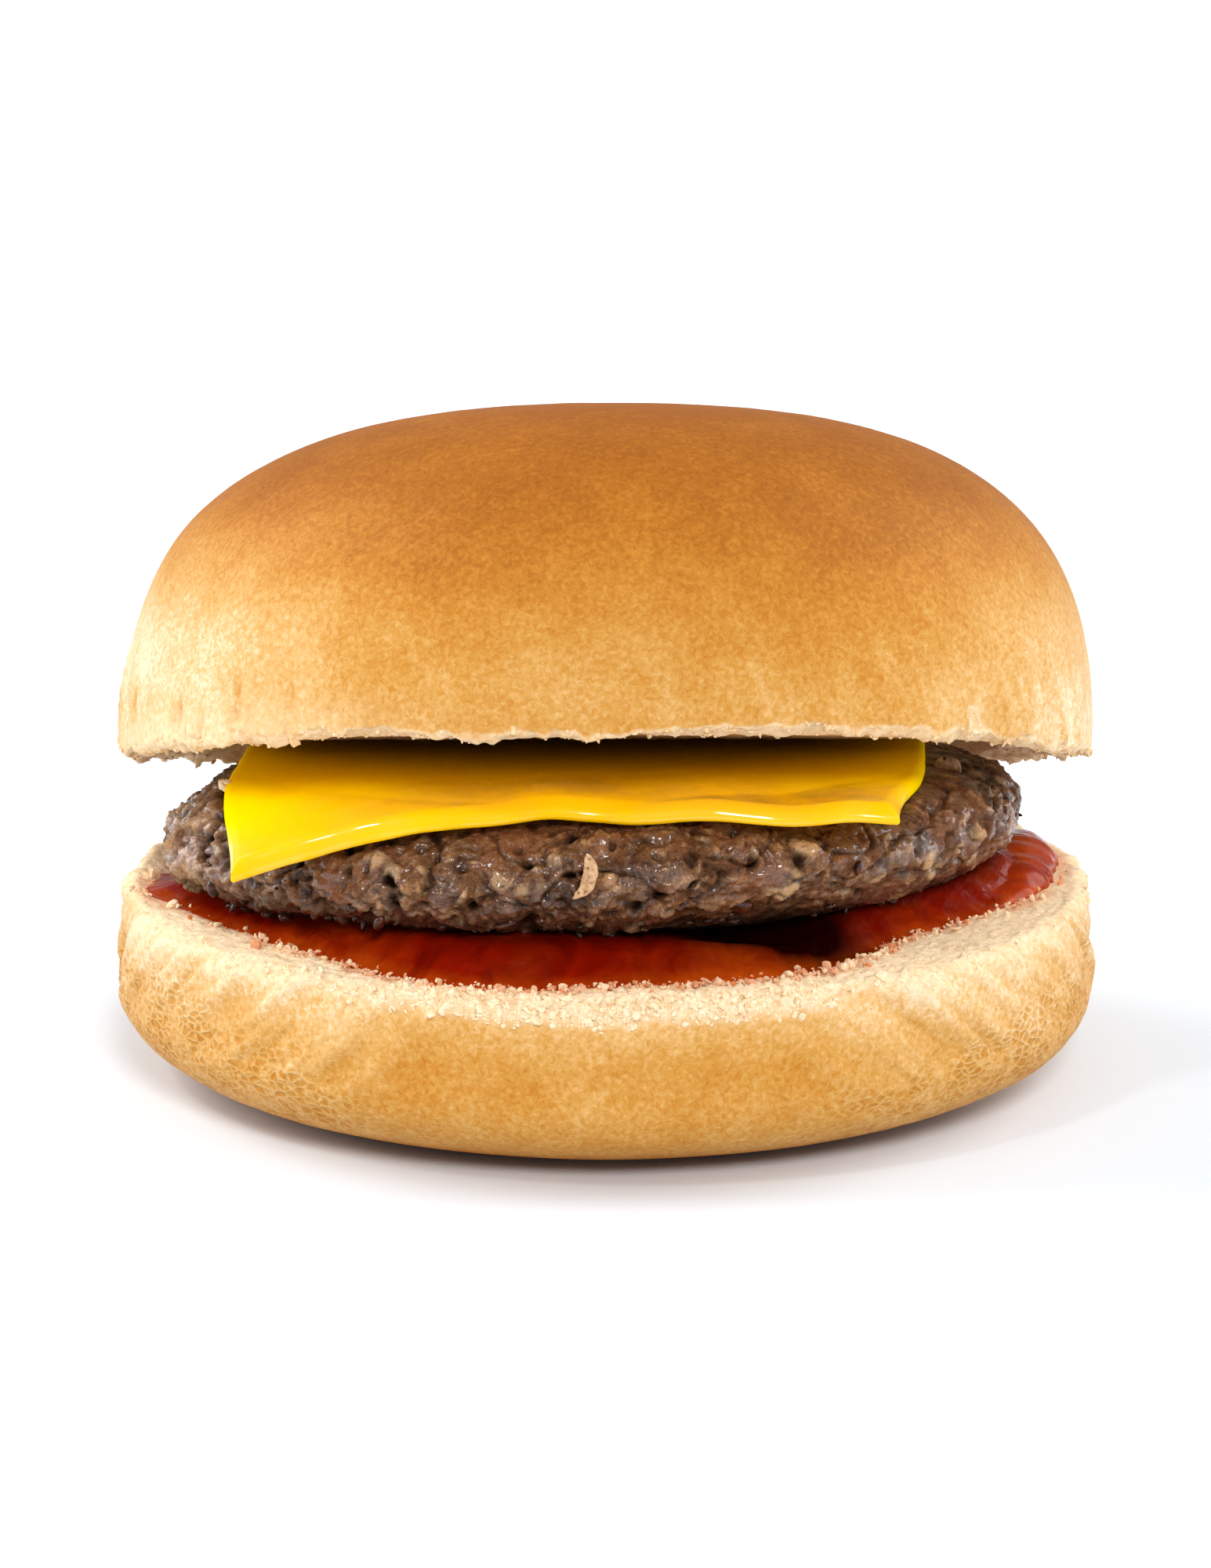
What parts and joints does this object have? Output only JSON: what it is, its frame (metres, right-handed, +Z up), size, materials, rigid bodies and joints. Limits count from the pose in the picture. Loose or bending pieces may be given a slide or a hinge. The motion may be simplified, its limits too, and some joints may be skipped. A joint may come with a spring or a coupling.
{
  "type": "cheeseburger",
  "caption": "Plain cheeseburger: bun halves open as a wedge at the front round a beef patty with a cheese slice on it and ketchup under it.",
  "frame": {"origin": "middle of the lower bun's flat foot, on the surface that the burger stands on", "axes": "+Z up, -Y towards the open front, +X to the right seen from the front"},
  "size_m": [0.114, 0.1146, 0.0808],
  "materials": {
    "lower_bun": "baked bread, pale golden crust with a cream crumb face, matte",
    "ketchup": "wet tomato ketchup, dark red and glossy",
    "beef": "fried ground beef, grey brown, craggy and moist",
    "cheese": "melted processed cheese, golden yellow, satin gloss",
    "upper_bun": "baked bread, brown on top to cream at the cut edge, matte"
  },
  "bodies": {
    "root": {"heel": "lower_bun", "ketchup": "ketchup", "patty": "beef", "cheese": "cheese", "crown": "upper_bun"}
  },
  "joints": []
}
